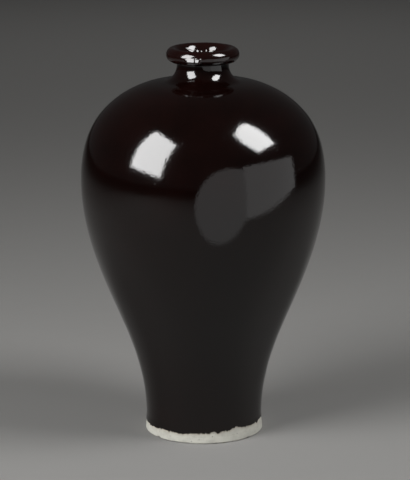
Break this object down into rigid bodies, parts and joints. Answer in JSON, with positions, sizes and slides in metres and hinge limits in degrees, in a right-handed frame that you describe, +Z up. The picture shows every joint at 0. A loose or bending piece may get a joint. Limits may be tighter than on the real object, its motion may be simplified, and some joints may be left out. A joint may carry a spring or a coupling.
{
  "type": "meiping vase",
  "caption": "Tall lidless meiping vase with a high round shoulder, short narrow neck and thick rolled lip, glossy dark glaze and bare pale foot; holds a flowering branch.",
  "frame": {"origin": "centre of the foot ring's underside, on the turning axis", "axes": "+Z up along the turning axis; -Y faces the picture's camera, +X is its right"},
  "size_m": [0.1874, 0.1874, 0.3004],
  "materials": {
    "clay": "matte bare stoneware",
    "slip": "matte",
    "glaze": "glossy brown-black",
    "lining": "glossy dark brown"
  },
  "bodies": {
    "root": {"lower_body": "clay", "belly_luting": "slip", "upper_body": "clay", "neck_luting": "slip", "neck": "clay", "outer_glaze": "glaze", "inner_glaze": "lining"}
  },
  "joints": []
}
